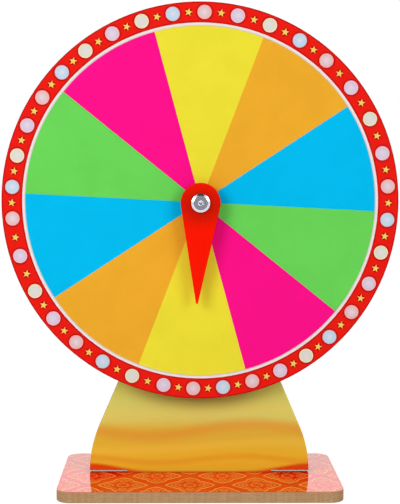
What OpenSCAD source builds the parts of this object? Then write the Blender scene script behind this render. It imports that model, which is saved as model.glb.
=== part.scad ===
// Carnival game wheel: a round board with coloured sectors spins on a bearing in front of a flat board
// stand, and a pointer hangs freely from the same axle. Millimetres, Z up, the front faces -Y.

/* [Base] */
// Width of the base board
base_w = 213; // [200:1:240]
// Depth of the base board, front to back
base_d = 120; // [90:1:150]
// Thickness of the base board
base_t = 8.2; // [6:0.2:14]
// Corner radius of the base board
base_corner_r = 11; // [3:0.5:20]
// Thickness of every printed film
film_t = 0.2; // [0.1:0.05:0.4]

/* [Stand] */
// Thickness of the stand board
stand_t = 8.2; // [6:0.2:12]
// How far the middle of the stand board sits behind the middle of the base
stand_setback = 3.2; // [-4:0.2:12]
// Width of the stand at its foot
stand_foot_w = 170.5; // [160:0.5:190]
// Width of the tab that drops into the base
tab_w = 112; // [80:1:130]
// How far the tab stops short of the underside of the base
tab_recess = 0.5; // [0.2:0.1:2]
// Clearance between the tab and its slot, on each side
slot_clearance = 0.05; // [0.02:0.01:0.3]
// Light gap between the shoulders of the stand and the base
shoulder_gap = 1.4; // [0.2:0.1:2]
// Radius of the swelling flank above the foot
flank_r = 87; // [70:1:100]
// Lean of the straight flank from upright, in degrees
flank_lean = 23.2; // [20:0.2:27]
// Radius of the round head that carries the axle
head_r = 28; // [24:1:40]
// Radius of the hollow curve below the head
neck_r = 70; // [40:1:100]

/* [Wheel] */
// Diameter of the wheel
wheel_d = 300; // [270:1:330]
// Thickness of the wheel board
wheel_t = 8.2; // [7:0.2:12]
// Gap between the wheel and the face of the stand
wheel_gap = 6; // [3:0.2:12]
// Height of the lowest point of the wheel above the base
wheel_clear = 60.8; // [50:0.2:80]
// Turn of the wheel at rest, clockwise from the front, in degrees
wheel_turn = 2.75; // [0:0.25:36]
// Number of coloured sectors
sector_count = 10; // [5:5:20]
// Width of the rim band
rim_band_w = 15.5; // [13:0.5:20]
// Width of the white ring inside the rim band
white_ring_w = 2.5; // [1:0.1:6]
// Diameter of a marquee bulb
bulb_d = 10.7; // [6:0.1:12]
// Diameter of the circle through the tips of a star
star_d = 5.9; // [4:0.1:8]
// Diameter of the circle through the inner corners of a star
star_waist_d = 2.7; // [1.5:0.1:3.5]
// Lean of the stars, clockwise from upright, in degrees
star_lean = 8; // [0:0.5:36]
// How far the bulbs are turned ahead of the sectors, in degrees
bulb_lead = 0.3; // [-2:0.1:2]

/* [Pointer] */
// Length of the pointer from its pivot to its tip
pointer_len = 76; // [60:1:110]
// Diameter of the round head of the pointer
pointer_head_d = 30; // [24:0.5:40]
// Radius of the blunt tip of the pointer
pointer_tip_r = 0.8; // [0.4:0.1:3]
// Thickness of the pointer
pointer_t = 4; // [2:0.1:6]
// Gap between the face of the wheel and the pointer
pointer_gap = 7.6; // [3:0.2:12]
// Turn of the pointer at rest from hanging plumb, clockwise from the front, in degrees
pointer_turn = 2; // [0:0.2:10]
// Wall of the bush in the pointer
bush_wall = 1.4; // [0.8:0.1:2.5]
// How far the bush stands proud of each side of the pointer
bush_proud = 0.2; // [0.1:0.05:0.5]
// End play of the pointer on each side
end_play = 0.1; // [0.05:0.01:0.3]
// Running clearance between the bush and its sleeve, on the radius
run_clearance = 0.08; // [0.02:0.01:0.1]

/* [Axle] */
// Diameter of the axle bolt
bolt_d = 5.9; // [5:0.1:7]
// Diameter of the bolt head
bolt_head_d = 14; // [13:0.5:20]
// Thickness of the bolt head
bolt_head_t = 2.4; // [1.8:0.1:4]
// Width of the bevel round the bolt head
bolt_bevel_w = 1.6; // [0.6:0.1:2.5]
// Height of the bevel round the bolt head
bolt_bevel_h = 0.8; // [0.3:0.1:1.5]
// Hexagon socket in the bolt head, across its flats
socket_af = 4; // [3:0.1:5]
// Depth of the hexagon socket
socket_depth = 3; // [1.5:0.1:5]
// Length of bolt that shows behind the nut
bolt_tail = 2; // [1.2:0.1:6]
// Chamfer at the end of the bolt
bolt_chamfer = 0.8; // [0.3:0.1:1.1]
// Clearance round the bolt in washers, spacers and the stand, on the radius
bolt_clearance = 0.25; // [0.1:0.05:0.4]
// Clearance of the closer fits on the bolt, on the radius
fit_clearance = 0.05; // [0.02:0.01:0.1]
// Wall of the spacers on the bolt
spacer_wall = 1.3; // [0.8:0.1:1.6]
// Wall of the sleeve that the pointer turns on
sleeve_wall = 0.8; // [0.6:0.1:1.5]
// Diameter of the washers
washer_d = 16; // [13:0.5:22]
// Thickness of the washers
washer_t = 1.2; // [0.8:0.1:2.5]
// Width of the lock nut across its flats
nut_af = 10; // [9.6:0.1:13]
// Height of the hexagon of the lock nut
nut_hex_h = 4.2; // [3:0.1:6]
// Chamfer on the corners of the lock nut
nut_chamfer = 0.5; // [0.2:0.1:0.8]
// Wall of the collar of the lock nut
collar_wall = 0.6; // [0.4:0.1:0.7]
// Wall of the nylon ring in the lock nut
insert_wall = 0.75; // [0.5:0.05:0.8]
// Height of the nylon ring in the lock nut
insert_h = 1.6; // [1:0.1:3]
// Thickness of the lip that folds over the nylon ring
collar_lip = 0.3; // [0.2:0.1:0.6]

/* [Bearing] */
// Width of the ball bearing
bearing_w = 6; // [5.6:0.1:6.4]
// Wall of the inner ring
inner_ring_wall = 2; // [1.9:0.1:3]
// Wall of the outer ring
outer_ring_wall = 2; // [1.6:0.1:3]
// Gap between the two rings
race_gap = 2.5; // [2.2:0.1:3]
// Diameter of the balls
ball_d = 3.5; // [3.2:0.1:3.7]
// Number of balls
ball_count = 7; // [5:1:8]
// Clearance between the balls and their grooves
race_clearance = 0.04; // [0.02:0.01:0.1]
// Wall of the ball cage
cage_wall = 1; // [0.6:0.1:1.4]
// Clearance between the balls and the cage
cage_clearance = 0.1; // [0.05:0.01:0.2]
// Gap between the cage and each shield
cage_end_gap = 0.3; // [0.15:0.05:0.4]
// Thickness of the bearing shields
shield_t = 0.3; // [0.2:0.05:0.4]
// How far each shield lies below the face of the bearing
shield_inset = 0.2; // [0.1:0.05:0.3]
// Ledge in the outer ring that each shield sits on
shield_ledge = 0.5; // [0.3:0.1:0.8]
// Gap between each shield and the inner ring
shield_gap = 0.3; // [0.2:0.05:0.6]
// Clearance round the front spacer in the wheel
hub_clearance = 1.5; // [0.5:0.1:2.5]

/* [Hidden] */
$fn = 96;
wood = "#ae8a64";
gold = "#deb14a";
red = "#ee1e14";
pointer_red = "#f81803";
white = "#f4f0ee";
star_yellow = "#f5d33c";
steel = "#b8bcc2";
nylon = "#eeeae0";
sector_colours = ["#eddf36", "#eeac2c", "#00bbee", "#69d458", "#fc0f8a"];

// The marquee bulbs in order round the rim, clockwise from the top, by the first letter of each kind
bulb_order = "plcbplclpbclpbclpbplcbplclpbclpbclcb";
bulb_kinds = [["pink", "#f4b8b6"], ["lilac", "#dcc2e0"], ["cream", "#efe0c4"], ["blue", "#c4d8ee"]];
bulb_count = len(bulb_order);
// How far some bulbs are off even spacing, in degrees; the bulbs between two of them share out the difference
bulb_shifts = [[0, -2], [4, -1.6], [7, 1.7], [13, 3], [19, -1.8], [24, -1.4], [26, 1.9], [bulb_count, -2]];

base_top = base_t + film_t;
axle_h = base_top + wheel_clear + wheel_d / 2;
shoulder_h = base_top + shoulder_gap;

// Distances in front of the middle of the base, along the axle
stand_front = stand_t / 2 - stand_setback;
stand_back = stand_front - stand_t;
stand_face = stand_front + film_t;
wheel_back = stand_face + wheel_gap;
wheel_front = wheel_back + wheel_t;
wheel_face = wheel_front + 2 * film_t;
bearing_front = wheel_back + bearing_w;
pointer_back = wheel_face + pointer_gap;
bush_back = pointer_back - bush_proud;
bush_len = pointer_t + 2 * bush_proud;
pointer_seat = bush_back - end_play;
bolt_head_back = bush_back + bush_len + end_play;
nut_front = stand_back - washer_t;
nut_h = nut_hex_h + insert_h + collar_lip;
bolt_end = nut_front - nut_h - bolt_tail;

// Diameters that follow from the bolt
bolt_hole_d = bolt_d + 2 * bolt_clearance;
bolt_fit_d = bolt_d + 2 * fit_clearance;
spacer_d = bolt_hole_d + 2 * spacer_wall;
sleeve_d = bolt_hole_d + 2 * sleeve_wall;
bush_bore_d = sleeve_d + 2 * run_clearance;
bush_d = bush_bore_d + 2 * bush_wall;
insert_d = bolt_fit_d + 2 * insert_wall;
insert_pocket_d = insert_d + 2 * fit_clearance;
collar_d = insert_pocket_d + 2 * collar_wall;
inner_land_r = bolt_fit_d / 2 + inner_ring_wall;
outer_land_r = inner_land_r + race_gap;
bearing_d = 2 * (outer_land_r + outer_ring_wall);
pitch_r = (inner_land_r + outer_land_r) / 2;
shield_depth = shield_inset + shield_t;
shield_seat_r = outer_land_r + shield_ledge;
hub_hole_d = spacer_d + 2 * hub_clearance;

// Radii on the face of the wheel
rim_band_r = wheel_d / 2 - rim_band_w;
sector_r = rim_band_r - white_ring_w;
marquee_r = wheel_d / 2 - rim_band_w / 2;

function sector_name(i) = str("sector_", i < 9 ? "0" : "", i + 1);
function bulb_name(kind) = str("bulbs_", kind[0]);
function arc(centre, r, from, to, steps) =
    [for (i = [0 : steps]) let (a = from + (to - from) * i / steps) centre + r * [cos(a), sin(a)]];
function mirrored(points) = [for (i = [len(points) - 1 : -1 : 0]) [-points[i][0], points[i][1]]];

// Angle of a bulb clockwise from the top of the wheel
function bulb_angle(i) = 360 * i / bulb_count + bulb_lead + lookup(i, bulb_shifts);

// Stands a plan drawn in X and Z up in front of the middle of the base, growing towards the front
module facing(forward) {
    translate([0, -forward, 0]) rotate([90, 0, 0]) children();
}

// The same, with the axle at the middle of the plan
module on_axle(forward) {
    facing(forward) translate([0, axle_h, 0]) children();
}

// A pattern on the wheel, turned clockwise from its top
module round_wheel(angle) {
    rotate([0, 0, -wheel_turn - angle]) children();
}

module tube(outer_d, inner_d, length) {
    rotate_extrude() translate([inner_d / 2, 0]) square([(outer_d - inner_d) / 2, length]);
}

module washer(forward) {
    color(steel) on_axle(forward) tube(washer_d, bolt_hole_d, washer_t);
}

module base_plan() {
    inner_w = base_w - 2 * base_corner_r;
    inner_d = base_d - 2 * base_corner_r;
    difference() {
        union() {
            square([base_w, inner_d], center = true);
            square([inner_w, base_d], center = true);
            for (x = [-1, 1], y = [-1, 1])
                translate([x * inner_w / 2, y * inner_d / 2]) circle(r = base_corner_r);
        }
        translate([0, stand_setback])
            square([tab_w + 2 * slot_clearance, stand_t + 2 * slot_clearance], center = true);
    }
}

// Outline of the stand: a tab that reaches down to the given height, shoulders beside it, swelling
// flanks that lean in to a hollow neck, and a round head
module stand_plan(tab_bottom) {
    axle = [0, axle_h];
    foot = [stand_foot_w / 2 - flank_r, shoulder_h];
    outward = [cos(flank_lean), sin(flank_lean)];
    upward = [-sin(flank_lean), cos(flank_lean)];
    across = outward * foot + flank_r + neck_r - outward * axle;
    neck = axle + across * outward - sqrt(pow(head_r + neck_r, 2) - across * across) * upward;
    to_neck = atan2(neck[1] - axle[1], neck[0] - axle[0]);
    side = concat(
        [[tab_w / 2, tab_bottom], [tab_w / 2, shoulder_h]],
        arc(foot, flank_r, 0, flank_lean, 10),
        arc(neck, neck_r, 180 + flank_lean, 180 + to_neck, 12),
        arc(axle, head_r, to_neck, 90, 18)
    );
    difference() {
        polygon(concat(side, mirrored(side)));
        translate(axle) circle(d = bolt_hole_d);
    }
}

module base_board() {
    color(wood) linear_extrude(base_t) base_plan();
}

module base_film() {
    color(red) translate([0, 0, base_t]) linear_extrude(film_t) base_plan();
}

module stand_board() {
    color(wood) facing(stand_back) linear_extrude(stand_t) stand_plan(tab_recess);
}

module stand_film() {
    color(gold) facing(stand_front) linear_extrude(film_t) stand_plan(base_top);
}

module axle_bolt() {
    shank_len = bolt_head_back - bolt_end;
    length = shank_len + bolt_head_t;
    profile = [
        [0, 0],
        [bolt_d / 2 - bolt_chamfer, 0],
        [bolt_d / 2, bolt_chamfer],
        [bolt_d / 2, shank_len],
        [bolt_head_d / 2, shank_len],
        [bolt_head_d / 2, length - bolt_bevel_h],
        [bolt_head_d / 2 - bolt_bevel_w, length],
        [0, length]
    ];
    color(steel) on_axle(bolt_end) difference() {
        rotate_extrude() polygon(profile);
        translate([0, 0, length - socket_depth])
            cylinder(d = socket_af / cos(30), h = 2 * socket_depth, $fn = 6);
    }
}

module stand_washer_front() {
    washer(stand_face);
}

module stand_washer_rear() {
    washer(nut_front);
}

module pointer_washer() {
    washer(pointer_seat - washer_t);
}

module lock_nut() {
    corner_r = nut_af / cos(30) / 2;
    chamfered = [
        [0, 0],
        [corner_r - 2 * nut_chamfer, 0],
        [corner_r, nut_chamfer],
        [corner_r, nut_hex_h - nut_chamfer],
        [corner_r - 2 * nut_chamfer, nut_hex_h],
        [0, nut_hex_h]
    ];
    color(steel) on_axle(nut_front) mirror([0, 0, 1]) difference() {
        union() {
            intersection() {
                cylinder(r = corner_r, h = nut_hex_h, $fn = 6);
                rotate_extrude() polygon(chamfered);
            }
            cylinder(d = collar_d, h = nut_h);
        }
        translate([0, 0, -nut_h]) cylinder(d = bolt_fit_d, h = 2 * nut_h);
        translate([0, 0, nut_hex_h]) cylinder(d = insert_pocket_d, h = insert_h);
        translate([0, 0, nut_hex_h]) cylinder(d = insert_d - insert_wall, h = nut_h);
    }
}

module lock_nut_insert() {
    color(nylon) on_axle(nut_front - nut_hex_h - insert_h) tube(insert_d, bolt_fit_d, insert_h);
}

module rear_spacer() {
    washer_front = stand_face + washer_t;
    color(steel) on_axle(washer_front) tube(spacer_d, bolt_hole_d, wheel_back - washer_front);
}

module front_spacer() {
    color(steel) on_axle(bearing_front)
        tube(spacer_d, bolt_hole_d, pointer_seat - washer_t - bearing_front);
}

module pointer_sleeve() {
    color(steel) on_axle(pointer_seat) tube(sleeve_d, bolt_hole_d, bolt_head_back - pointer_seat);
}

module groove() {
    translate([pitch_r, bearing_w / 2]) circle(r = ball_d / 2 + race_clearance);
}

module bearing_inner_ring() {
    color(steel) on_axle(wheel_back) rotate_extrude() difference() {
        translate([bolt_fit_d / 2, 0]) square([inner_ring_wall, bearing_w]);
        groove();
    }
}

module bearing_outer_ring() {
    color(steel) on_axle(wheel_back) rotate_extrude() difference() {
        translate([outer_land_r, 0]) square([outer_ring_wall, bearing_w]);
        groove();
        for (end = [-shield_depth, bearing_w - shield_depth])
            translate([0, end]) square([shield_seat_r, 2 * shield_depth]);
    }
}

module at_balls() {
    for (i = [0 : ball_count - 1])
        rotate([0, 0, 360 * i / ball_count]) translate([pitch_r, 0, bearing_w / 2]) children();
}

module bearing_balls() {
    color(steel) on_axle(wheel_back) at_balls() sphere(d = ball_d);
}

module bearing_cage() {
    end = shield_depth + cage_end_gap;
    color(steel) on_axle(wheel_back) difference() {
        translate([0, 0, end]) tube(2 * pitch_r + cage_wall, 2 * pitch_r - cage_wall, bearing_w - 2 * end);
        at_balls() rotate([0, 90, 0])
            cylinder(d = ball_d + 2 * cage_clearance, h = 2 * cage_wall, center = true);
    }
}

module bearing_shield(forward) {
    color(steel) on_axle(forward)
        tube(2 * (shield_seat_r - fit_clearance), 2 * (inner_land_r + shield_gap), shield_t);
}

module bearing_shield_front() {
    bearing_shield(bearing_front - shield_depth);
}

module bearing_shield_rear() {
    bearing_shield(wheel_back + shield_inset);
}

module wheel_board() {
    profile = [
        [bearing_d / 2, 0],
        [wheel_d / 2, 0],
        [wheel_d / 2, wheel_t],
        [hub_hole_d / 2, wheel_t],
        [hub_hole_d / 2, bearing_w],
        [bearing_d / 2, bearing_w]
    ];
    color(wood) on_axle(wheel_back) rotate_extrude() polygon(profile);
}

module wheel_laminate() {
    color(white) on_axle(wheel_front) tube(wheel_d, hub_hole_d, film_t);
}

module rim_band() {
    color(red) on_axle(wheel_front + film_t) tube(wheel_d, 2 * rim_band_r, film_t);
}

module sector(i) {
    width = 360 / sector_count;
    color(sector_colours[i % len(sector_colours)]) on_axle(wheel_front + film_t)
        round_wheel((i + 0.5) * width) rotate([0, 0, 90]) rotate_extrude(angle = width)
        translate([hub_hole_d / 2, 0]) square([sector_r - hub_hole_d / 2, film_t]);
}

module bulbs(kind) {
    places = [for (i = [0 : bulb_count - 1]) if (bulb_order[i] == kind[0][0]) bulb_angle(i)];
    color(kind[1]) on_axle(wheel_face) for (angle = places)
        round_wheel(angle) translate([0, marquee_r, 0]) cylinder(d = bulb_d, h = film_t);
}

// The stars lie midway between the bulbs, and all lean the same way
module stars() {
    outline = [for (i = [0 : 9]) (i % 2 == 0 ? star_d : star_waist_d) / 2 * [sin(36 * i), cos(36 * i)]];
    color(star_yellow) on_axle(wheel_face) for (i = [0 : bulb_count - 1]) {
        angle = (bulb_angle(i) + bulb_angle(i + 1)) / 2;
        round_wheel(0) translate(marquee_r * [sin(angle), cos(angle)])
            rotate([0, 0, -star_lean]) linear_extrude(film_t) polygon(outline);
    }
}

module pointer_blade() {
    head_circle_r = pointer_head_d / 2;
    reach = pointer_len - pointer_tip_r;
    slant = asin((head_circle_r - pointer_tip_r) / reach);
    side = concat(
        arc([0, -reach], pointer_tip_r, -90, -slant, 6),
        arc([0, 0], head_circle_r, -slant, 90, 36)
    );
    color(pointer_red) on_axle(pointer_back) rotate([0, 0, -pointer_turn]) linear_extrude(pointer_t)
        difference() {
            polygon(concat(side, mirrored(side)));
            circle(d = bush_d);
        }
}

module pointer_bush() {
    color(nylon) on_axle(bush_back) tube(bush_d, bush_bore_d, bush_len);
}

base_board();
base_film();
stand_board();
stand_film();
axle_bolt();
stand_washer_front();
stand_washer_rear();
lock_nut();
lock_nut_insert();
rear_spacer();
front_spacer();
pointer_washer();
pointer_sleeve();
bearing_inner_ring();
bearing_outer_ring();
bearing_balls();
bearing_cage();
bearing_shield_front();
bearing_shield_rear();
wheel_board();
wheel_laminate();
rim_band();
for (i = [0 : sector_count - 1])
    sector(i);
for (kind = bulb_kinds)
    bulbs(kind);
stars();
pointer_blade();
pointer_bush();
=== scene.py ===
"""Looks of a tabletop carnival game wheel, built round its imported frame. Lengths are in metres."""

import math

import bmesh
import bpy
from mathutils import Euler, Matrix, Vector


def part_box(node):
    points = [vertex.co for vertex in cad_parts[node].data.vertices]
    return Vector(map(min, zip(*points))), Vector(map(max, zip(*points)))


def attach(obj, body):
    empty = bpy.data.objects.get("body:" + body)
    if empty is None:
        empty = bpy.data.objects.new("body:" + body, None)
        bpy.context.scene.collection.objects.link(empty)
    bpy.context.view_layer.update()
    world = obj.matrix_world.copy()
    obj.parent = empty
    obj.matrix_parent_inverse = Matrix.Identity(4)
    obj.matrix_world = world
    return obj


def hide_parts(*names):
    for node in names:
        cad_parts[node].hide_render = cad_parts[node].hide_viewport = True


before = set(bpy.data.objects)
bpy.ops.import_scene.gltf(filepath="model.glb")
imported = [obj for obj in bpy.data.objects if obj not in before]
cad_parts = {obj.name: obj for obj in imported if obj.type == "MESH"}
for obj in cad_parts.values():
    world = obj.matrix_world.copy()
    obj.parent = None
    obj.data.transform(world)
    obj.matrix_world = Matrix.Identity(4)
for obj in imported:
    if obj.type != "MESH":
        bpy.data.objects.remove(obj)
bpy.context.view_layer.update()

MM = 0.001
WELD = 0.00001
ROUND_STEPS = 4
SHARP_ANGLE = math.radians(32)

# A sheet drawn in X and Y lies flat, or stands up facing the front
FLAT = Matrix.Identity(4)
FRONT = Matrix(((1, 0, 0, 0), (0, 0, -1, 0), (0, 1, 0, 0), (0, 0, 0, 1)))

# The axle runs along Y through the middle of the bolt
bolt_low, bolt_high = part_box("axle_bolt")
AXLE_Z = (bolt_low.z + bolt_high.z) / 2


# Shapes


def cap_loops(node, plane):
    """Outlines of the end of a CAD node that faces out of a plane; holes wind the other way round."""
    bm = bmesh.new()
    bm.from_mesh(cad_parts[node].data)
    bm.transform(plane.inverted())
    bmesh.ops.remove_doubles(bm, verts=bm.verts, dist=WELD)
    height = max(vertex.co.z for vertex in bm.verts)
    for face in bm.faces:
        face.tag = min(vertex.co.z for vertex in face.verts) > height - WELD
    follows = {}
    for face in bm.faces:
        for corner in face.loops:
            if face.tag and sum(other.tag for other in corner.edge.link_faces) == 1:
                follows[corner.vert] = corner.link_loop_next.vert
    loops = []
    while follows:
        start, ahead = follows.popitem()
        loop = [start.co.xy.copy()]
        while ahead is not start:
            loop.append(ahead.co.xy.copy())
            ahead = follows.pop(ahead)
        loops.append(loop)
    bm.free()
    return loops


def inward(loop):
    """For each point of an outline, how it moves when the outline shrinks by one unit."""
    moves = []
    for index, point in enumerate(loop):
        before = (point - loop[index - 1]).normalized()
        after = (loop[(index + 1) % len(loop)] - point).normalized()
        first = Vector((-before.y, before.x))
        second = Vector((-after.y, after.x))
        moves.append((first + second) / (1 + first.dot(second)))
    return moves


def shrunk(loop, distance):
    """An outline drawn in by a distance; a hole grows instead."""
    return [point + move * distance for point, move in zip(loop, inward(loop))]


def join_rows(bm, rows):
    """Faces between neighbouring closed rows of points; a row of one point makes a fan."""
    for lower, upper in zip(rows, rows[1:]):
        for index in range(max(len(lower), len(upper))):
            places = ((lower, index - 1), (lower, index), (upper, index), (upper, index - 1))
            corners = [row[place % len(row)] for row, place in places]
            bm.faces.new(dict.fromkeys(corners))


def plate_rings(low, high, low_round, high_round):
    """Heights up the edge of a plate, each with how far the outline is drawn in there."""
    quarter = [math.pi / 2 * step / ROUND_STEPS for step in range(ROUND_STEPS + 1)]
    rings = []
    for turn in quarter:
        rings.append((low + low_round * (1 - math.cos(turn)), low_round * (1 - math.sin(turn))))
    for turn in quarter:
        rings.append((high - high_round * (1 - math.sin(turn)), high_round * (1 - math.cos(turn))))
    return rings


def plate(loops, low, high, low_round, high_round):
    """A plate on the given outlines between two heights, with rounded edges."""
    bm = bmesh.new()
    walls = []
    for loop in loops:
        rows = []
        for height, inset in plate_rings(low, high, low_round, high_round):
            rows.append([bm.verts.new((point.x, point.y, height)) for point in shrunk(loop, inset)])
        join_rows(bm, rows)
        walls.append(rows)
    for end in (0, -1):
        cap = [rows[end] for rows in walls]
        edges = [bm.edges.get((row[index - 1], row[index])) for row in cap for index in range(len(row))]
        bmesh.ops.triangle_fill(bm, use_beauty=True, use_dissolve=False, edges=edges)
    return bm


def lathe(profile, segments, closed=False):
    """A solid turned about the axle: (reach, y) pairs, where the reach may be a function of the angle."""
    bm = bmesh.new()
    angles = [math.tau * step / segments for step in range(segments)]
    rows = []
    for reach, y in profile:
        if reach == 0:
            rows.append([bm.verts.new((0, y, AXLE_Z))])
            continue
        row = []
        for angle in angles:
            radius = reach(angle) if callable(reach) else reach
            row.append(bm.verts.new((radius * math.sin(angle), y, AXLE_Z + radius * math.cos(angle))))
        rows.append(row)
    join_rows(bm, rows + rows[:1] if closed else rows)
    return bm


def eased(profile, size, closed=True):
    """A profile with each corner rounded off; an open one keeps its two ends."""
    smooth = []
    for index, point in enumerate(profile):
        if not closed and index in (0, len(profile) - 1):
            smooth.append(point)
            continue
        corner = Vector(point)
        before = (Vector(profile[index - 1]) - corner).normalized() * size
        after = (Vector(profile[(index + 1) % len(profile)]) - corner).normalized() * size
        for step in range(ROUND_STEPS + 1):
            share = step / ROUND_STEPS
            smooth.append(tuple(corner + before * (1 - share) ** 2 + after * share ** 2))
    return smooth


def reaches(node):
    """The nearest and the farthest that a node's points lie from the axle."""
    points = [Vector((v.co.x, v.co.z - AXLE_Z)).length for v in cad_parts[node].data.vertices]
    return min(points), max(points)


def piece(name, bm, look, body, stands_for=(), plane=FLAT):
    """Turns a finished mesh into a piece that rides a body."""
    bm.transform(plane)
    bmesh.ops.recalc_face_normals(bm, faces=bm.faces)
    mesh = bpy.data.meshes.new(name)
    bm.to_mesh(mesh)
    bm.free()
    mesh.shade_smooth()
    mesh.set_sharp_from_angle(angle=SHARP_ANGLE)
    mesh.materials.append(look)
    made = bpy.data.objects.new(name, mesh)
    bpy.context.scene.collection.objects.link(made)
    made.modifiers.new("even_shading", "WEIGHTED_NORMAL").keep_sharp = True
    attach(made, body)
    if stands_for:
        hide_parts(*stands_for)


# Node trees


class Nodes:
    """A node tree being built."""

    def __init__(self, tree):
        self.tree = tree
        self.tree.nodes.clear()

    def add(self, kind, **settings):
        node = self.tree.nodes.new(kind)
        for name, value in settings.items():
            setattr(node, name, value)
        return node

    def link(self, start, end):
        self.tree.links.new(start, end)

    def feed(self, socket, value):
        """Sets a socket to a plain value, or links it to another node's output."""
        if isinstance(value, bpy.types.NodeSocket):
            self.link(value, socket)
        else:
            socket.default_value = value

    def math(self, operation, *values):
        node = self.add("ShaderNodeMath", operation=operation)
        for socket, value in zip(node.inputs, values):
            self.feed(socket, value)
        return node.outputs[0]

    def axes(self, place):
        """The three coordinates of a place."""
        node = self.add("ShaderNodeSeparateXYZ")
        self.link(place, node.inputs[0])
        return node.outputs

    def spread(self, value, low, high, start=0.3, end=0.7, shape="SMOOTHSTEP"):
        """Maps start to end onto low to high, by a soft step unless another shape is named."""
        node = self.add("ShaderNodeMapRange", interpolation_type=shape)
        for socket, number in (("From Min", start), ("From Max", end), ("To Min", low), ("To Max", high)):
            node.inputs[socket].default_value = number
        self.link(value, node.inputs["Value"])
        return node.outputs["Result"]

    def either(self, factor, first, second, output):
        """Ends the tree with a blend of two shaders."""
        blend = self.add("ShaderNodeMixShader")
        for socket, value in zip(blend.inputs, (factor, first.outputs[0], second.outputs[0])):
            self.link(value, socket)
        self.link(blend.outputs[0], self.add(output).inputs["Surface"])

    def seen_directly(self):
        """1 where a camera, glossy or transmission ray looks, and 0 for light that falls on things."""
        path = self.add("ShaderNodeLightPath")
        seen = self.math("MAXIMUM", path.outputs["Is Camera Ray"], path.outputs["Is Glossy Ray"])
        return self.math("MAXIMUM", seen, path.outputs["Is Transmission Ray"])


class Look(Nodes):
    """A material being built round one Principled shader."""

    def __init__(self, name, **values):
        self.material = bpy.data.materials.new(name)
        self.material.use_nodes = True
        super().__init__(self.material.node_tree)
        self.shader = self.add("ShaderNodeBsdfPrincipled")
        output = self.add("ShaderNodeOutputMaterial")
        self.link(self.shader.outputs["BSDF"], output.inputs["Surface"])
        for socket, value in values.items():
            self.shader.inputs[socket.replace("_", " ")].default_value = value
        self.place = self.add("ShaderNodeTexCoord").outputs["Object"]

    def axle_reach(self, drop=0.0, widen=1.0):
        """Distance from the axle, or from a line below it; widening makes sideways count for less."""
        x, _, z = self.axes(self.place)
        across = self.math("DIVIDE", x, widen)
        up = self.math("SUBTRACT", z, AXLE_Z - drop)
        squares = self.math("ADD", self.math("MULTIPLY", across, across), self.math("MULTIPLY", up, up))
        return self.math("SQRT", squares)

    def edge_share(self):
        """0 in the middle of a button and 1 at its edge."""
        return self.add("ShaderNodeAttribute", attribute_name="reach").outputs["Fac"]

    def noise(self, scale, detail, stretch=(1, 1, 1)):
        """Cloudy noise of so many lumps a metre, drawn out along the axes where stretch is small."""
        mapping = self.add("ShaderNodeMapping")
        mapping.inputs["Scale"].default_value = stretch
        self.link(self.place, mapping.inputs["Vector"])
        node = self.add("ShaderNodeTexNoise")
        node.inputs["Scale"].default_value = scale
        node.inputs["Detail"].default_value = detail
        self.link(mapping.outputs[0], node.inputs["Vector"])
        return node.outputs["Fac"]

    def mix(self, factor, first, second):
        """A blend of two colours."""
        node = self.add("ShaderNodeMix", data_type="RGBA")
        sockets = [socket for socket in node.inputs if socket.enabled]
        for socket, value in zip(sockets, (factor, first, second)):
            self.feed(socket, value)
        return next(socket for socket in node.outputs if socket.enabled)

    def ramp(self, value, *stops):
        """A smooth colour ramp of (place, colour) stops."""
        node = self.add("ShaderNodeValToRGB")
        node.color_ramp.interpolation = "EASE"
        marks = node.color_ramp.elements
        while len(marks) < len(stops):
            marks.new(0.5)
        for mark, (place, colour) in zip(marks, stops):
            mark.position = place
            mark.color = colour
        self.link(value, node.inputs["Fac"])
        return node.outputs["Color"]

    def bump(self, height, depth, strength):
        """Raises the surface by a height of 0 to 1 times a depth."""
        node = self.add("ShaderNodeBump")
        node.inputs["Strength"].default_value = strength
        node.inputs["Distance"].default_value = depth
        self.link(height, node.inputs["Height"])
        self.link(node.outputs["Normal"], self.shader.inputs["Normal"])

    def colour(self, value):
        self.feed(self.shader.inputs["Base Color"], value)

    def rough(self, value):
        self.feed(self.shader.inputs["Roughness"], value)

    def satin_film(self, tone):
        """Finishes printed film: fine grain over the print, an uneven sheen and a trace of orange peel."""
        self.colour(self.mix(self.spread(self.noise(1900, 2), 0, 0.05), tone, GRAIN_TONE))
        self.rough(self.spread(self.noise(90, 3), 0.38, 0.48))
        self.bump(self.noise(650, 2), 0.012 * MM, 0.5)
        return self.material


# Inks and materials


FILM_GLOSS = 0.02
GRAIN_TONE = (0.02, 0.02, 0.02, 1)
GLOSS_COAT = {"Specular_IOR_Level": 0.0, "Coat_Weight": 0.8, "Coat_Roughness": 0.03, "Coat_IOR": 1.55}

# Painted shade in the corner along the foot of the stand: its strength and how far it reaches
CORNER_SHADE_STRENGTH = 0.4
CORNER_REACH = 7 * MM

# The pointer carries painted shade round a spot below the axle, under the bolt head, which reaches farther
# sideways
BOLT_SHADE_DROP = 2 * MM
BOLT_SHADE_WIDEN = 1.4
BOLT_SHADE_REACH = (3 * MM, 21 * MM)


def ink(red, green, blue):
    """A display colour of 0 to 255 as the linear colour that a shader takes."""
    shares = [value / 255 for value in (red, green, blue)]
    return tuple(s / 12.92 if s <= 0.04045 else ((s + 0.055) / 1.055) ** 2.4 for s in shares) + (1.0,)


def shade(colour, factor):
    """A linear colour made lighter or darker."""
    return tuple(min(1.0, value * factor) for value in colour[:3]) + (1.0,)


BAND_RED = ink(238, 28, 18)
BAND_EDGE_RED = ink(186, 18, 16)
RIM_SHADE_RED = ink(166, 16, 8)
RING_WHITE = ink(246, 229, 227)
RING_EDGE_GREY = ink(204, 201, 196)
# Dark red of the painted shade in the corner where the stand meets the base
CORNER_SHADE_RED = ink(120, 14, 2)

# How far in from the edges of the rim band its lines begin and reach full strength
BAND_LINE = (1.5 * MM, 0.4 * MM)
RING_FADE_W = 1.4 * MM


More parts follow.
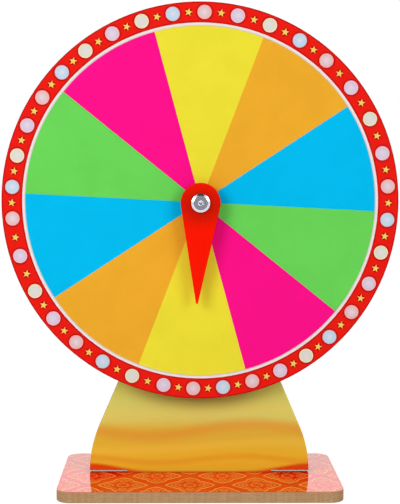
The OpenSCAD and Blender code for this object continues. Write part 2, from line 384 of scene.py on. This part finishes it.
def printed_film(name, colour):
    """Satin film in one ink, with faint cloudiness."""
    look = Look(name, Specular_IOR_Level=FILM_GLOSS)
    cloud = look.spread(look.noise(38, 3), 0, 1)
    return look.satin_film(look.mix(cloud, shade(colour, 0.985), shade(colour, 1.03)))


def band_print():
    """Red film with a deeper red line along both edges of the rim band."""
    inner, outer = reaches("rim_band")
    middle = (inner + outer) / 2
    half = (outer - inner) / 2
    look = Look("rim_red", Specular_IOR_Level=FILM_GLOSS)
    off_middle = look.math("ABSOLUTE", look.math("SUBTRACT", look.axle_reach(), middle))
    line = look.spread(off_middle, 0, 1, half - BAND_LINE[0], half - BAND_LINE[1])
    return look.satin_film(look.mix(line, BAND_RED, BAND_EDGE_RED))


def white_ring_print():
    """White film that greys towards the sectors."""
    _, sector_edge = reaches("sector_01")
    look = Look("wheel_white", Specular_IOR_Level=FILM_GLOSS)
    fade = look.spread(look.axle_reach(), 1, 0, sector_edge, sector_edge + RING_FADE_W)
    return look.satin_film(look.mix(fade, RING_WHITE, RING_EDGE_GREY))


def rim_shade_print():
    """Dark red print that fades into the band round each lamp and star."""
    look = Look("rim_shade", Specular_IOR_Level=FILM_GLOSS)
    return look.satin_film(look.ramp(look.edge_share(), (SHADE_RINGS[0], RIM_SHADE_RED), (1.0, BAND_RED)))


def lamp_print(name, middle, glow, rim, edge):
    """A printed lamp: a pearly middle, a tinted ring and a bright edge."""
    look = Look(name, Specular_IOR_Level=FILM_GLOSS)
    pearl = look.ramp(look.edge_share(), (0.10, middle), (0.62, glow), (0.80, rim), (0.93, edge))
    return look.satin_film(look.mix(look.spread(look.noise(520, 3), 0, 0.15), pearl, shade(middle, 0.9)))


def star_print():
    """A pale gold star, warmer along its arms."""
    look = Look("star_print", Specular_IOR_Level=FILM_GLOSS)
    tone = look.ramp(look.edge_share(), (0.0, ink(242, 214, 92)), (0.9, ink(255, 204, 104)))
    return look.satin_film(tone)


def fibreboard(name, across):
    """Raw fibreboard: pressed layers and saw marks on the edge, short fibres and specks all over."""
    look = Look(name, Specular_IOR_Level=0.12)
    thin = [0.12 if axis != across else 1.0 for axis in range(3)]
    thick = [1.0 if axis != across else 0.05 for axis in range(3)]
    layers = look.spread(look.noise(1500, 3, thin), 0, 1)
    saw_marks = look.spread(look.noise(420, 3, thick), 0, 1, 0.35, 0.72)
    fibres = look.noise(2600, 4)
    body = look.mix(layers, ink(180, 142, 100), ink(194, 157, 116))
    body = look.mix(look.math("MULTIPLY", saw_marks, 0.45), body, ink(158, 122, 86))
    look.colour(look.mix(look.spread(fibres, 0, 0.35, 0.52, 0.75), body, ink(126, 94, 62)))
    look.rough(look.spread(fibres, 0.72, 0.9))
    look.bump(look.math("ADD", fibres, saw_marks), 0.05 * MM, 0.5)
    return look.material


def gloss_print(name, first, second, lumps):
    """Cloudy ink under a clear gloss film, with painted shade in the corner along the foot of the stand."""
    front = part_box("stand_film")[0].y
    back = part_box("stand_board")[1].y
    half_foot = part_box("stand_film")[1].x
    look = Look(name, **GLOSS_COAT)
    x, y, _ = look.axes(look.place)
    off_middle = look.math("ABSOLUTE", look.math("SUBTRACT", y, (front + back) / 2))
    half_t = (back - front) / 2
    # painted shade: the film is darkened in the corner along the foot of the stand
    painted_shade_near_stand = look.spread(off_middle, CORNER_SHADE_STRENGTH, 0, half_t, half_t + CORNER_REACH)
    along_foot = look.spread(look.math("ABSOLUTE", x), 1, 0, half_foot, half_foot + CORNER_REACH)
    tone = look.mix(look.spread(look.noise(lumps, 3), 0, 1), first, second)
    look.colour(look.mix(look.math("MULTIPLY", painted_shade_near_stand, along_foot), tone, CORNER_SHADE_RED))
    look.rough(look.spread(look.noise(300, 2), 0.35, 0.5))
    look.bump(look.noise(120, 2), 0.01 * MM, 0.3)
    return look.material


def acrylic(name, colour, shade_and_mottle_colour):
    """Solid coloured acrylic with painted shade round the axle under the bolt head, faint flow marks and
    fine handling scuffs.
    """
    look = Look(name, Specular_IOR_Level=0.03)
    # painted shade: darker round a spot just below the axle, where the bolt head shades the pointer
    off_bolt_shade = look.spread(look.axle_reach(BOLT_SHADE_DROP, BOLT_SHADE_WIDEN), 0, 1, *BOLT_SHADE_REACH)
    tone = look.mix(off_bolt_shade, shade_and_mottle_colour, colour)
    look.colour(look.mix(look.spread(look.noise(30, 3), 0, 0.08), tone, shade_and_mottle_colour))
    look.rough(look.spread(look.noise(900, 4, (1, 1, 0.15)), 0.2, 0.32))
    look.bump(look.noise(220, 2), 0.01 * MM, 0.4)
    return look.material


def plated_metal(name, colour, low, high, grain):
    """Plated metal: small shifts of tone and a roughness that wanders with fine marks."""
    look = Look(name, Metallic=1.0)
    tone = look.spread(look.noise(300, 3), 0, 1)
    look.colour(look.mix(tone, shade(colour, 0.93), shade(colour, 1.04)))
    look.rough(look.spread(look.noise(grain, 3), low, high))
    look.bump(look.noise(grain * 2, 2), 0.006 * MM, 0.5)
    return look.material


def turned_plating(name, colour, groove):
    """Bright plating over fine rings left by the lathe."""
    look = Look(name, Metallic=1.0)
    rings = look.math("SINE", look.math("MULTIPLY", look.axle_reach(), math.tau / groove))
    tone = look.mix(look.spread(rings, 0, 1, -1, 1), shade(colour, 0.72), shade(colour, 1.04))
    look.colour(look.mix(look.spread(look.noise(700, 3), 0, 0.2), tone, shade(colour, 0.6)))
    look.rough(look.spread(look.noise(900, 3), 0.08, 0.16))
    look.bump(rings, 0.006 * MM, 0.35)
    return look.material


def moulded_nylon(name, colour):
    """Natural nylon: milky, a little see-through at the surface, softly shiny."""
    look = Look(name, Subsurface_Weight=0.15, Subsurface_Scale=0.001, Specular_IOR_Level=0.4)
    look.colour(look.mix(look.spread(look.noise(500, 3), 0, 1), shade(colour, 0.95), shade(colour, 1.03)))
    look.rough(look.spread(look.noise(800, 2), 0.38, 0.52))
    look.bump(look.noise(1200, 2), 0.01 * MM, 0.4)
    return look.material


def dress(look, *nodes):
    """Gives CAD nodes that keep their shape a finished material."""
    for node in nodes:
        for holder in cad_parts[node].material_slots:
            holder.material = look


# Print of the stand


# Soft bands that wave across the print: height above the foot, swing, wavelength and half width in mm,
# strength and ink
STAND_BANDS = (
    (47, 3.0, 210, 8, 0.45, ink(230, 212, 104)),
    (33, 4.5, 160, 8, 0.55, ink(230, 148, 50)),
    (20, 3.5, 240, 6, 0.35, ink(246, 212, 80)),
    (10, 2.5, 130, 4, 0.45, ink(232, 150, 36)),
)
PRINT_SHOWS = 80 * MM
# Painted shadow of the wheel on the stand: its reach from the axle, half width across, strength and brown
WHEEL_SHADOW_REACH = (150 * MM, 168 * MM)
WHEEL_SHADOW_HALF_W = (20 * MM, 72 * MM)
WHEEL_SHADOW_STRENGTH = 0.4
WHEEL_SHADOW_BROWN = ink(128, 92, 44)

# The red swells rise from a share of the half width to the ends of the foot, and fade in between two more
SWELL_START = 0.5
SWELL_FADE = (0.35, 0.7)
SWELL_RISE = 5.5 * MM
SWELL_SOFTNESS = 1.6 * MM
SWELL_STRENGTH = 0.9
SWELL_RED = ink(228, 44, 8)

# A line of painted shade along the foot, where the stand meets the base, between two heights
FOOT_SHADE_RISE = (0.3 * MM, 1.2 * MM)
FOOT_SHADE_STRENGTH = 0.45
FOOT_SHADE_BROWN = ink(140, 92, 56)


def stand_print(low, shoulder, half_foot):
    """Olive gold with a painted shadow under the wheel, amber at the foot, waving bands, red swells and
    painted shade along the foot.
    """
    look = Look("stand_print", Specular_IOR_Level=FILM_GLOSS)
    x, _, z = look.axes(look.place)
    sideways = look.math("ABSOLUTE", x)
    tone = look.ramp(
        look.spread(z, 0, 1, low, low + PRINT_SHOWS, "LINEAR"),
        (0.0, ink(240, 190, 46)),
        (0.15, ink(238, 194, 50)),
        (0.38, ink(228, 188, 62)),
        (0.58, ink(222, 214, 108)),
        (0.80, ink(216, 212, 104)),
    )
    for height, swing, wavelength, half_width, strength, colour in STAND_BANDS:
        wave = look.math("SINE", look.math("MULTIPLY", x, math.tau / (wavelength * MM)))
        middle = look.math("MULTIPLY_ADD", wave, swing * MM, low + height * MM)
        off_middle = look.math("ABSOLUTE", look.math("SUBTRACT", z, middle))
        tone = look.mix(look.spread(off_middle, strength, 0, 0, half_width * MM), tone, colour)
    # painted shadow of the wheel, darkest just below its rim in the middle
    painted_wheel_shadow = look.spread(look.axle_reach(), WHEEL_SHADOW_STRENGTH, 0, *WHEEL_SHADOW_REACH)
    in_middle = look.spread(sideways, 1, 0, *WHEEL_SHADOW_HALF_W)
    tone = look.mix(look.math("MULTIPLY", painted_wheel_shadow, in_middle), tone, WHEEL_SHADOW_BROWN)
    swell = look.spread(sideways, 0, SWELL_RISE, SWELL_START * half_foot, half_foot)
    above_swell = look.math("SUBTRACT", look.math("SUBTRACT", z, shoulder), swell)
    under_crest = look.spread(above_swell, SWELL_STRENGTH, 0, -SWELL_SOFTNESS, SWELL_SOFTNESS)
    at_ends = look.spread(sideways, 0, 1, SWELL_FADE[0] * half_foot, SWELL_FADE[1] * half_foot)
    tone = look.mix(look.math("MULTIPLY", under_crest, at_ends), tone, SWELL_RED)
    # painted shade along the foot of the stand, where it meets the base
    painted_foot_shade = look.spread(z, FOOT_SHADE_STRENGTH, 0, low + FOOT_SHADE_RISE[0], low + FOOT_SHADE_RISE[1])
    return look.satin_film(look.mix(painted_foot_shade, tone, FOOT_SHADE_BROWN))


# Boards and films


# Rounding along the edges of each sheet, at its back or underside and at its face
BASE_ROUNDS = (0.6 * MM, 0.12 * MM)
STAND_ROUNDS = (0.5 * MM, 0.12 * MM)
FILM_ROUNDS = (0.02 * MM, 0.08 * MM)
POINTER_ROUNDS = (0.3 * MM, 0.5 * MM)
WHEEL_EASE = 0.35 * MM
WHEEL_SEGMENTS = 240

# Points of the stand's outline beyond this share of its half width belong to its shoulders
SHOULDER_SHARE = 0.9


def facing_span(node):
    """How far forward the back and the front of a node lie."""
    low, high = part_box(node)
    return -high.y, -low.y


def build_base(board):
    low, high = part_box("base_board")
    bm = plate(cap_loops("base_board", FLAT), low.z, high.z, *BASE_ROUNDS)
    piece("base_panel", bm, board, "frame", ["base_board"])
    low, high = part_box("base_film")
    bm = plate(cap_loops("base_film", FLAT), low.z, high.z, *FILM_ROUNDS)
    look = gloss_print("base_print", ink(236, 24, 3), ink(246, 32, 4), 60)
    piece("base_gloss_film", bm, look, "frame", ["base_film"])


def build_stand(board):
    back, front = facing_span("stand_board")
    bm = plate(cap_loops("stand_board", FRONT), back, front, *STAND_ROUNDS)
    piece("stand_panel", bm, board, "frame", ["stand_board"], FRONT)
    back, front = facing_span("stand_film")
    low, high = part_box("stand_film")
    loops = cap_loops("stand_film", FRONT)
    shoulder = min(point.y for loop in loops for point in loop if point.x > SHOULDER_SHARE * high.x)
    bm = plate(loops, back, front, *FILM_ROUNDS)
    look = stand_print(low.z, shoulder, high.x)
    piece("stand_print_film", bm, look, "frame", ["stand_film"], FRONT)


def build_wheel_board(board):
    """The disc, its bearing pocket from the back and the smaller hole through its front web."""
    low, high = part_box("wheel_board")
    rim = min(high.x, -low.x)
    hole, _ = reaches("wheel_board")
    _, pocket = reaches("bearing_outer_ring")
    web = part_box("bearing_outer_ring")[0].y
    profile = [(rim, low.y), (rim, high.y), (pocket, high.y), (pocket, web), (hole, web), (hole, low.y)]
    bm = lathe(eased(profile, WHEEL_EASE), WHEEL_SEGMENTS, closed=True)
    piece("wheel_disc", bm, board, "wheel", ["wheel_board"])


def build_pointer():
    back, front = facing_span("pointer_blade")
    bm = plate(cap_loops("pointer_blade", FRONT), back, front, *POINTER_ROUNDS)
    # The second ink is the painted shade round the bolt, also used for the faint mottle
    look = acrylic("pointer_acrylic", ink(252, 22, 0), ink(192, 24, 3))
    piece("pointer_needle", bm, look, "pointer", ["pointer_blade"], FRONT)


# Ornament of the base


# Each medallion has four pointed petals that meet at notches, and stands in staggered rows; the first of
# two values is for the petals across the base, the second for those along its depth
MEDALLION_START = Vector((-7.6 * MM, -40.4 * MM))
MEDALLION_PITCH = 50.2 * MM
MEDALLION_ROW = 26.8 * MM
ROWS = range(-1, 5)
COLUMNS = range(-4, 5)
NOTCH = (7.4 * MM, 11.2 * MM)
PETAL_TIPS = (18.4 * MM, 21 * MM)
PETAL_SWELLS = (1.2 * MM, 2.0 * MM)
LEAF_ENDS = ((6.6 * MM, 11.4 * MM), (8.2 * MM, 13 * MM))
LEAF_HALF_W = (2.8 * MM, 2.6 * MM)
FLOWER_R = 4.2 * MM
FLOWER_PETALS = 8
FLOWER_SWELL = 0.16
INNER_OUTLINE = 0.78

# Lines are drawn as with a broad pen, so each has a width across the base and one along its depth
OUTER_LINE = (1.0 * MM, 1.9 * MM)
INNER_LINE = (0.45 * MM, 0.9 * MM)
ORNAMENT_T = 0.02 * MM
ORNAMENT_LOW_T = 0.015 * MM
ORNAMENT_EDGE = 0.8 * MM
PETAL_STEPS = 14


def petal(kind):
    """Outline of a petal that points along X, from one notch round its tip to the next."""
    start, half = NOTCH if kind == 0 else reversed(NOTCH)
    points = []
    for step in range(-PETAL_STEPS, PETAL_STEPS + 1):
        share = 1 - abs(step) / PETAL_STEPS
        along = start + (PETAL_TIPS[kind] - start) * share
        side = half * (1 - share) + PETAL_SWELLS[kind] * math.sin(math.pi * share)
        points.append(Vector((along, math.copysign(side, step))))
    return points


def leaf(kind):
    """A pointed leaf inside a petal that points along X."""
    start, end = LEAF_ENDS[kind]
    points = []
    for step in range(-PETAL_STEPS, PETAL_STEPS):
        share = abs(step) / PETAL_STEPS
        side = LEAF_HALF_W[kind] * math.sin(math.pi * share)
        points.append(Vector((start + (end - start) * share, math.copysign(side, step))))
    return points


def flower():
    """A ring of small petals round the middle."""
    points = []
    for step in range(4 * PETAL_STEPS):
        turn = math.tau * step / (4 * PETAL_STEPS)
        reach = FLOWER_R * (1 + FLOWER_SWELL * math.cos(FLOWER_PETALS * turn))
        points.append(Vector((reach * math.cos(turn), reach * math.sin(turn))))
    return points


def medallion_lines():
    """The lines of one medallion: points, whether they close, width and height."""
    lines = [(flower(), True, INNER_LINE, ORNAMENT_T)]
    for quarter in range(4):
        kind = quarter % 2
        height = (ORNAMENT_T, ORNAMENT_LOW_T)[kind]
        turn = Matrix.Rotation(math.pi / 2 * quarter, 2)
        outline = [turn @ point for point in petal(kind)]
        lines.append((outline, False, OUTER_LINE, height))
        lines.append(([point * INNER_OUTLINE for point in outline], False, INNER_LINE, height))
        lines.append(([turn @ point for point in leaf(kind)], True, INNER_LINE, height))
    return lines


def inside(loop, point):
    """Whether a point lies within an outline."""
    odd = False
    for index, corner in enumerate(loop):
        last = loop[index - 1]
        if (corner.y > point.y) != (last.y > point.y):
            cross = last.x + (point.y - last.y) * (corner.x - last.x) / (corner.y - last.y)
            odd = odd != (point.x < cross)
    return odd


def runs_inside(line, closed, allowed):
    """The stretches of a line that lie in the allowed area, and whether each closes on itself."""
    kept = [allowed(point) for point in line]
    if all(kept):
        return [(line, closed)]
    first = kept.index(False) if closed else 0
    runs = [[]]
    for point, stays in zip(line[first:] + line[:first], kept[first:] + kept[:first]):
        if stays:
            runs[-1].append(point)
        else:
            runs.append([])
    return [(run, False) for run in runs if len(run) > 1]


def add_ribbon(bm, line, closed, width, low, high):
    """A flat ribbon along a line, as a thin closed solid."""
    count = len(line)
    rows = []
    for index, point in enumerate(line):
        before = line[index - 1] if closed or index else point
        after = line[(index + 1) % count] if closed or index < count - 1 else point
        along = (after - before).normalized()
        side = Vector((-along.y * width[0], along.x * width[1])) / 2
        corners = ((point + side, low), (point + side, high), (point - side, high), (point - side, low))
        rows.append([bm.verts.new((corner.x, corner.y, z)) for corner, z in corners])
    join_rows(bm, rows + rows[:1] if closed else rows)
    if not closed:
        bm.faces.new(rows[0])
        bm.faces.new(rows[-1])


def build_base_ornament():
    """Staggered rows of gold medallions over the base, cut at its edge and round the stand's tab."""
    outline, *slots = sorted(cap_loops("base_film", FLAT), key=lambda loop: -max(point.x for point in loop))
    field = shrunk(outline, ORNAMENT_EDGE)
    gaps = [shrunk(slot, ORNAMENT_EDGE) for slot in slots]
    low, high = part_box("base_film")

    def allowed(point):
        return inside(field, point) and not any(inside(gap, point) for gap in gaps)

    bm = bmesh.new()
    for row in ROWS:
        for column in COLUMNS:
            stagger = MEDALLION_PITCH / 2 if row % 2 else 0
            step = Vector((column * MEDALLION_PITCH + stagger, row * MEDALLION_ROW))
            for line, closed, width, height in medallion_lines():
                placed = [point + MEDALLION_START + step for point in line]
                for run, whole in runs_inside(placed, closed, allowed):
                    add_ribbon(bm, run, whole, width, high.z, high.z + height)
    look = gloss_print("base_ornament", ink(255, 168, 70), ink(255, 182, 82), 400)
    piece("base_ornament", bm, look, "frame")


# Lamps and stars of the rim


LAMP_RINGS = (0.2, 0.4, 0.62, 0.8, 0.9, 0.96)
LAMP_EDGE_DROP = 0.08 * MM
STAR_RINGS = (0.5,)
STAR_EDGE_DROP = 0.10 * MM
LAMP_SHADE_R = 7.4 * MM
STAR_SHADE_R = 3.3 * MM
SHADE_RINGS = (0.7, 0.8, 0.9)
SHADE_STEPS = 40
SHADE_T = 0.04 * MM

# Inks of each kind of lamp: middle, glow, rim and edge
LAMP_INKS = {
    "pink": (ink(230, 214, 219), ink(228, 194, 198), ink(243, 182, 182), ink(255, 170, 168)),
    "lilac": (ink(228, 213, 228), ink(216, 202, 224), ink(230, 192, 208), ink(255, 190, 202)),
    "cream": (ink(226, 222, 222), ink(221, 221, 204), ink(234, 218, 190), ink(255, 224, 192)),
    "blue": (ink(220, 221, 232), ink(186, 217, 239), ink(200, 213, 231), ink(224, 188, 200)),
}


def middle_of(loop):
    """The mean of an outline's points."""
    return sum(loop, Vector((0, 0))) / len(loop)


def circle(centre, radius):
    """A round outline."""
    turns = [math.tau * step / SHADE_STEPS for step in range(SHADE_STEPS)]
    return [centre + radius * Vector((math.cos(turn), math.sin(turn))) for turn in turns]


def add_button(bm, loop, rings, back, front, drop=0):
    """A shallow dome on an outline; the layer called reach runs from 0 in the middle to 1 at its edge."""
    reach = bm.verts.layers.float.get("reach") or bm.verts.layers.float.new("reach")
    centre = middle_of(loop)
    dome = [(share, front - drop * share ** 2) for share in (0, *rings, 1)]
    rows = []
    for share, height in dome + [(1, back), (0, back)]:
        points = [centre + (point - centre) * share for point in loop] if share else [centre]
        row = [bm.verts.new((point.x, point.y, height)) for point in points]
        for vertex in row:
            vertex[reach] = share
        rows.append(row)
    join_rows(bm, rows)


def build_rim_print():
    """The lamps and stars of the rim, each on a dark shade printed on the band."""
    back, front = facing_span("stars")
    shades = bmesh.new()
    for tone, inks in LAMP_INKS.items():
        lamps = bmesh.new()
        for loop in cap_loops("bulbs_" + tone, FRONT):
            add_button(lamps, loop, LAMP_RINGS, back, front, LAMP_EDGE_DROP)
            add_button(shades, circle(middle_of(loop), LAMP_SHADE_R), SHADE_RINGS, back, back + SHADE_T)
        look = lamp_print("lamp_" + tone, *inks)
        piece("rim_lamps_" + tone, lamps, look, "wheel", ["bulbs_" + tone], FRONT)
    stars = bmesh.new()
    for loop in cap_loops("stars", FRONT):
        add_button(stars, loop, STAR_RINGS, back, front, STAR_EDGE_DROP)
        add_button(shades, circle(middle_of(loop), STAR_SHADE_R), SHADE_RINGS, back, back + SHADE_T)
    piece("rim_stars", stars, star_print(), "wheel", ["stars"], FRONT)
    piece("rim_shades", shades, rim_shade_print(), "wheel", (), FRONT)


# Hardware


BOLT_BEVEL = 1.6 * MM
BOLT_BEVEL_DROP = 0.8 * MM
BOLT_EASE = 0.12 * MM
SOCKET_FLATS = 4.0 * MM
SOCKET_DEPTH = 3.0 * MM
SOCKET_LIP = 0.2 * MM
SOCKET_DRILL_POINT = 0.9 * MM
SOCKET_RING_R = 3.0 * MM
SHANK_R = 2.95 * MM
THREAD_PITCH = 1.0 * MM
THREAD_DEPTH = 0.5 * MM
THREAD_STEPS = 8
THREAD_START = 5.0 * MM
LATHE_GROOVE = 1.3 * MM
RING_EASE = 0.12 * MM
TURNED_SEGMENTS = 96


def hexagon(flats):
    """Reach of a hexagon at an angle."""
    return lambda angle: flats / 2 / math.cos((angle % (math.pi / 3)) - math.pi / 6)


def thread(y, crest):
    """Reach of a screw thread at an angle, a given way along it."""
    return lambda angle: crest - THREAD_DEPTH * abs(2 * ((y / THREAD_PITCH + angle / math.tau) % 1) - 1)


def build_bolt():
    """A low round head with a bevel and a hexagon socket, and a threaded tail."""
    low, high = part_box("axle_bolt")
    _, head = reaches("axle_bolt")
    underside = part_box("pointer_sleeve")[0].y
    profile = [
        (0, low.y + SOCKET_DEPTH),
        (hexagon(SOCKET_FLATS), low.y + SOCKET_DEPTH - SOCKET_DRILL_POINT),
        (hexagon(SOCKET_FLATS), low.y + SOCKET_LIP),
        (hexagon(SOCKET_FLATS + 2 * SOCKET_LIP), low.y),
    ]
    turned = [
        (SOCKET_RING_R, low.y),
        (head - BOLT_BEVEL, low.y),
        (head, low.y + BOLT_BEVEL_DROP),
        (head, underside),
        (SHANK_R, underside),
    ]
    profile += eased(turned, BOLT_EASE, closed=False)
    turns = int((high.y - THREAD_START) / THREAD_PITCH * THREAD_STEPS)
    for step in range(turns + 1):
        y = THREAD_START + step * THREAD_PITCH / THREAD_STEPS
        chamfer = max(0.0, y - (high.y - THREAD_DEPTH))
        profile.append((thread(y, SHANK_R - chamfer), y))
    profile += [(SHANK_R - 2 * THREAD_DEPTH, high.y), (0, high.y)]
    look = turned_plating("bright_plating", ink(238, 236, 252), LATHE_GROOVE)
    piece("hub_bolt", lathe(profile, TURNED_SEGMENTS), look, "frame", ["axle_bolt"])


def build_ring(node, look, body):
    """A washer, spacer or bush with eased edges."""
    inner, outer = reaches(node)
    low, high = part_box(node)
    profile = [(outer, low.y), (outer, high.y), (inner, high.y), (inner, low.y)]
    bm = lathe(eased(profile, RING_EASE), TURNED_SEGMENTS, closed=True)
    piece("turned_" + node, bm, look, body, [node])


def build_hardware():
    zinc = plated_metal("zinc_plated_steel", ink(196, 198, 204), 0.24, 0.42, 900)
    bearing_steel = plated_metal("bearing_steel", ink(206, 206, 208), 0.10, 0.22, 1100)
    nylon = moulded_nylon("natural_nylon", ink(232, 228, 216))
    build_bolt()
    for node in ("stand_washer_front", "stand_washer_rear", "pointer_washer"):
        build_ring(node, zinc, "frame")
    for node in ("rear_spacer", "front_spacer", "pointer_sleeve"):
        build_ring(node, zinc, "frame")
    build_ring("pointer_bush", nylon, "pointer")
    dress(zinc, "lock_nut")
    dress(nylon, "lock_nut_insert")
    dress(bearing_steel, "bearing_inner_ring", "bearing_outer_ring", "bearing_balls", "bearing_cage")
    dress(bearing_steel, "bearing_shield_front", "bearing_shield_rear")


# Camera, light and floor


CAMERA_PLACE = (-0.0161, -0.9784, 0.2586)
CAMERA_PITCH = math.radians(4.572)
CAMERA_YAW = math.radians(0.944)
CAMERA_ROLL = math.radians(0.186)
CAMERA_LENS = 91.05
SKY_LOW = 0.24
SKY_HIGH = 0.57

# A mirror sees the room dim in front and overhead; each dimness comes in between two slopes along Y or Z
FRONT_DIMNESS = 0.66
FRONT_SPAN = (-0.85, -0.62)
OVERHEAD_DIMNESS = 0.97
OVERHEAD_SPAN = (0.66, 0.73)

LAMP_SIZE = 0.55
LAMPS = (("left_lamp", (-0.70, -0.90, 0.62), 6.1), ("right_lamp", (0.70, -0.90, 0.62), 3.9))
BACK_PANEL_PLACE = (0, 1.2, 0.42)
BACK_PANEL_SIZE = (1.6, 0.36)
BACK_PANEL_GLOW = 0.86
FLOOR_HALF = 1.5
FLOOR_GLOW = 1.09
FLOOR_SHARE = 0.13
WHITE = (1, 1, 1, 1)
PALE = (0.85, 0.85, 0.85, 1)


def add_camera():
    data = bpy.data.cameras.new("camera")
    data.lens = CAMERA_LENS
    camera = bpy.data.objects.new("camera", data)
    camera.location = CAMERA_PLACE
    aim = Euler((math.pi / 2 - CAMERA_PITCH, 0, -CAMERA_YAW)).to_matrix()
    camera.rotation_euler = (aim @ Matrix.Rotation(CAMERA_ROLL, 3, "Z")).to_euler()
    bpy.context.scene.collection.objects.link(camera)
    bpy.context.scene.camera = camera


def add_area(name, place, target, size, power):
    data = bpy.data.lights.new(name, "AREA")
    data.shape = "RECTANGLE"
    data.size, data.size_y = size
    data.energy = power
    lamp = bpy.data.objects.new(name, data)
    lamp.location = place
    lamp.rotation_euler = (Vector(target) - Vector(place)).to_track_quat("-Z", "Y").to_euler()
    lamp.visible_camera = False
    bpy.context.scene.collection.objects.link(lamp)


def add_lights():
    for name, place, power in LAMPS:
        add_area(name, place, (0, 0, AXLE_Z), (LAMP_SIZE, LAMP_SIZE), power)
    area = BACK_PANEL_SIZE[0] * BACK_PANEL_SIZE[1]
    add_area("back_panel", BACK_PANEL_PLACE, (0, 0, 0), BACK_PANEL_SIZE, BACK_PANEL_GLOW * math.pi * area)


def add_world():
    """A white room whose soft light comes mostly from above; mirrored, it is dim in front and overhead."""
    world = bpy.data.worlds.new("studio")
    world.use_nodes = True
    room = Nodes(world.node_tree)
    _, y, z = room.axes(room.add("ShaderNodeTexCoord").outputs["Generated"])
    soft = room.add("ShaderNodeBackground")
    soft.inputs["Color"].default_value = WHITE
    room.link(room.spread(z, SKY_LOW, SKY_HIGH, 0, 1, "LINEAR"), soft.inputs["Strength"])
    front = room.spread(y, FRONT_DIMNESS, 0, *FRONT_SPAN)
    overhead = room.spread(z, 0, OVERHEAD_DIMNESS, *OVERHEAD_SPAN)
    dimness = room.math("MAXIMUM", front, overhead)
    mirrored = room.add("ShaderNodeLightPath").outputs["Is Glossy Ray"]
    white = room.add("ShaderNodeBackground")
    white.inputs["Color"].default_value = WHITE
    room.link(room.math("SUBTRACT", 1, room.math("MULTIPLY", dimness, mirrored)), white.inputs["Strength"])
    room.either(room.seen_directly(), soft, white, "ShaderNodeOutputWorld")
    bpy.context.scene.world = world


def floor_look():
    """Pale matt floor that looks white, apart from a share that takes the shadow."""
    material = bpy.data.materials.new("pale_floor")
    material.use_nodes = True
    floor = Nodes(material.node_tree)
    matt = floor.add("ShaderNodeBsdfDiffuse")
    matt.inputs["Color"].default_value = PALE
    glow = floor.add("ShaderNodeEmission")
    glow.inputs["Strength"].default_value = FLOOR_GLOW
    seen = floor.math("MULTIPLY", floor.seen_directly(), 1 - FLOOR_SHARE)
    floor.either(seen, matt, glow, "ShaderNodeOutputMaterial")
    return material


def add_floor():
    bm = bmesh.new()
    corners = [(-1, -1), (1, -1), (1, 1), (-1, 1)]
    bm.faces.new([bm.verts.new((x * FLOOR_HALF, y * FLOOR_HALF, 0)) for x, y in corners])
    mesh = bpy.data.meshes.new("floor")
    bm.to_mesh(mesh)
    bm.free()
    mesh.materials.append(floor_look())
    floor = bpy.data.objects.new("floor", mesh)
    bpy.context.scene.collection.objects.link(floor)


# The whole object


SECTOR_INKS = {
    "yellow": ink(238, 224, 54),
    "orange": ink(239, 172, 44),
    "blue": ink(0, 188, 240),
    "green": ink(106, 213, 88),
    "pink": ink(254, 15, 139),
}


def dress_sectors():
    for tone, colour in SECTOR_INKS.items():
        slot = "sector_" + tone
        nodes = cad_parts.items()
        wearing = [name for name, node in nodes if node.material_slots[0].material.name == slot]
        dress(printed_film(slot, colour), *wearing)


lying_board = fibreboard("fibreboard_lying", 2)
standing_board = fibreboard("fibreboard_standing", 1)

build_base(lying_board)
build_base_ornament()
build_stand(standing_board)
build_wheel_board(standing_board)
dress(white_ring_print(), "wheel_laminate")
dress(band_print(), "rim_band")
dress_sectors()
build_rim_print()
build_pointer()
build_hardware()

add_camera()
add_lights()
add_world()
add_floor()
bpy.context.scene.view_settings.view_transform = "Standard"
